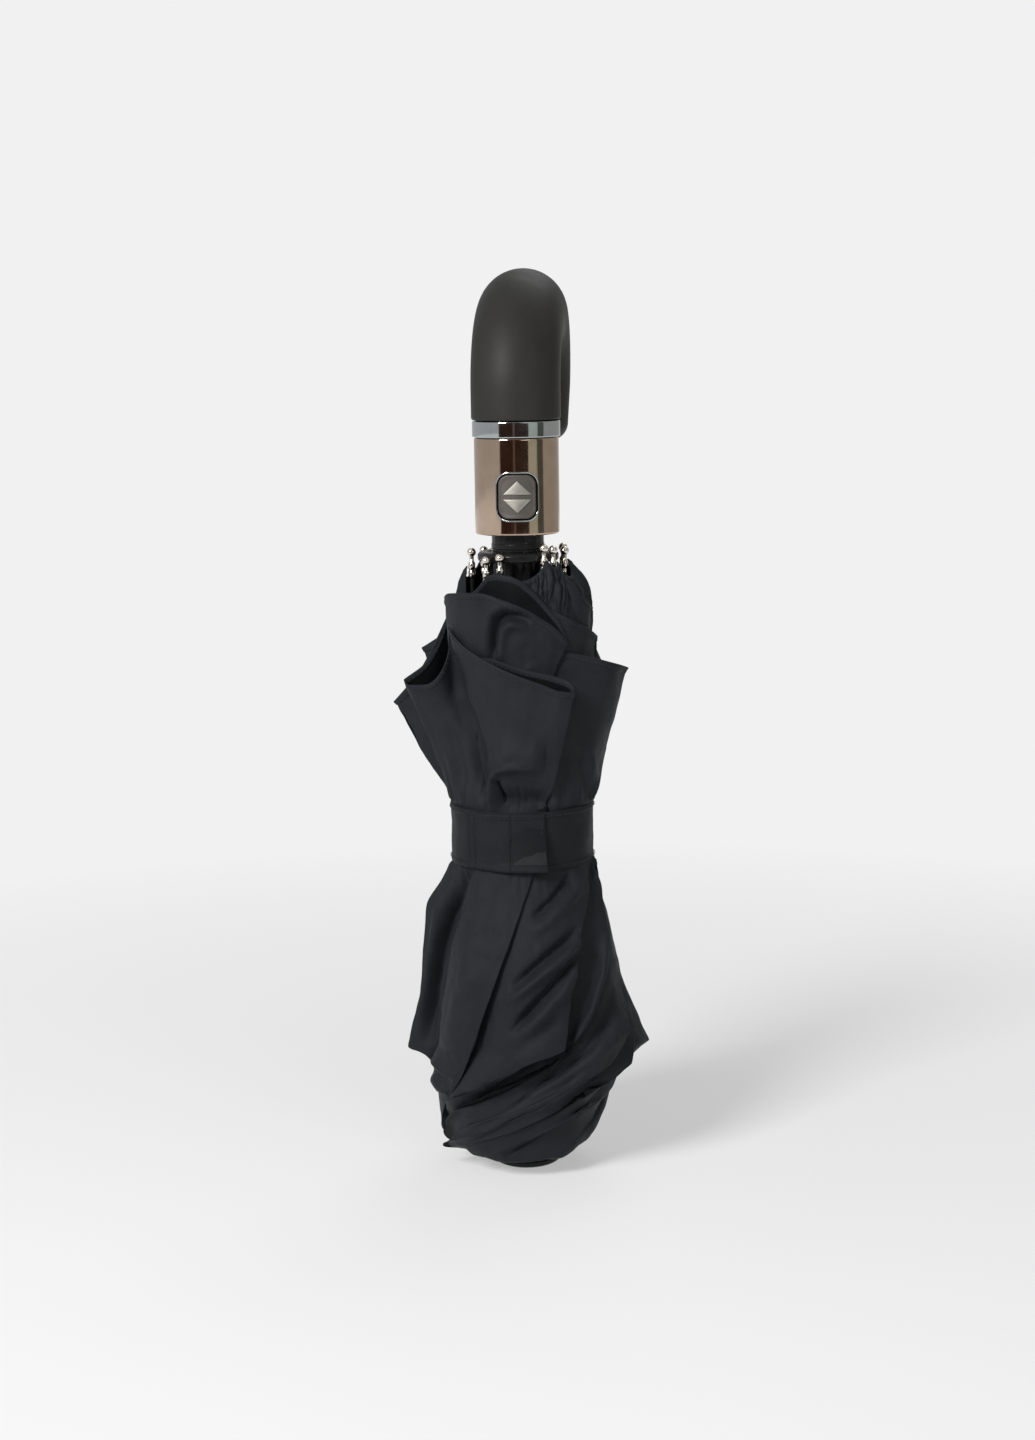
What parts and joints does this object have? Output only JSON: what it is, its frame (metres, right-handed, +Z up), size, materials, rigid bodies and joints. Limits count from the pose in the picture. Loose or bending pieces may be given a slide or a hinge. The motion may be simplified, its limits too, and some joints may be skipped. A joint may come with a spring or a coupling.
{
  "type": "automatic folding umbrella",
  "caption": "Closed three-fold automatic umbrella: hook handle with push button, telescoping shaft, folded ribs and a gathered, strapped canopy.",
  "frame": {"origin": "centre of the crown cap's flat end face, on the shaft's axis, at the canopy end", "axes": "+Z up the shaft to the handle; the push button faces -Y; the hook bends back to +Y; +X to the right of someone who looks at the button"},
  "size_m": [0.0946, 0.1078, 0.3355],
  "materials": {
    "soft_touch_black": "soft-touch black coating over plastic",
    "bright_chrome": "bright plating",
    "gunmetal_chrome": "warm dark plating, polished",
    "button_grey": "brown-grey plastic with plated arrows",
    "black_plastic": "moulded black plastic",
    "steel": "plain steel",
    "nickel": "warm nickel plating",
    "black_cloth": "black pongee cloth",
    "black_webbing": "black canopy cloth, doubled and hemmed"
  },
  "bodies": {
    "handle": {"hook_grip": "soft_touch_black", "chrome_band": "bright_chrome", "metal_sleeve": "gunmetal_chrome", "handle_core": "black_plastic", "core_pin": "steel", "tube_plug": "black_plastic", "outer_tube": "steel", "latch_pin": "steel", "main_spring": "steel"},
    "button": {"push_button": "button_grey", "button_spring": "steel"},
    "latch": {"latch_lever": "steel"},
    "middle_shaft": {"middle_tube": "steel"},
    "canopy_set": {"inner_tube": "steel", "runner": "black_plastic", "crown_notch": "black_plastic", "crown_cap": "black_plastic", "canopy": "black_cloth", "strap": "black_webbing", "stretcher_1": "steel", "stretcher_2": "steel", "stretcher_3": "steel", "stretcher_4": "steel", "stretcher_5": "steel", "stretcher_6": "steel", "stretcher_7": "steel", "stretcher_8": "steel", "stretcher_9": "steel", "stretcher_10": "steel", "top_rib_1": "steel", "top_rib_2": "steel", "top_rib_3": "steel", "top_rib_4": "steel", "top_rib_5": "steel", "top_rib_6": "steel", "top_rib_7": "steel", "top_rib_8": "steel", "top_rib_9": "steel", "top_rib_10": "steel", "middle_rib_1": "steel", "middle_rib_2": "steel", "middle_rib_3": "steel", "middle_rib_4": "steel", "middle_rib_5": "steel", "middle_rib_6": "steel", "middle_rib_7": "steel", "middle_rib_8": "steel", "middle_rib_9": "steel", "middle_rib_10": "steel", "tail_rib_1": "nickel", "tail_rib_2": "nickel", "tail_rib_3": "nickel", "tail_rib_4": "nickel", "tail_rib_5": "nickel", "tail_rib_6": "nickel", "tail_rib_7": "nickel", "tail_rib_8": "nickel", "tail_rib_9": "nickel", "tail_rib_10": "nickel"},
    "tab": {"strap_tab": "black_webbing"}
  },
  "joints": [
    {"name": "button_press", "type": "slide", "parent": "handle", "child": "button", "axis": [0, 1, 0], "range_m": [0, 0.0012], "stiffness_N_per_m": 1500, "deforming": ["button_spring"]},
    {"name": "latch_tilt", "type": "hinge", "parent": "handle", "child": "latch", "pos_m": [0, -0.00987, 0.2682], "axis": [1, 0, 0], "range_deg": [0, 10.5]},
    {"name": "shaft_extend", "type": "slide", "parent": "handle", "child": "canopy_set", "axis": [0, 0, -1], "range_m": [0, 0.37], "deforming": ["main_spring"]},
    {"name": "middle_tube_slide", "type": "slide", "parent": "handle", "child": "middle_shaft", "axis": [0, 0, -1], "range_m": [0, 0.185]},
    {"name": "strap_tab_peel", "type": "hinge", "parent": "canopy_set", "child": "tab", "pos_m": [-0.01917, -0.01985, 0.1286], "axis": [0, 0, -1], "range_deg": [0, 100]}
  ],
  "couplings": [
    {"joint": "latch_tilt", "follows": "button_press", "rad_per_m": 152.72},
    {"joint": "middle_tube_slide", "follows": "shaft_extend", "ratio": 0.5}
  ]
}
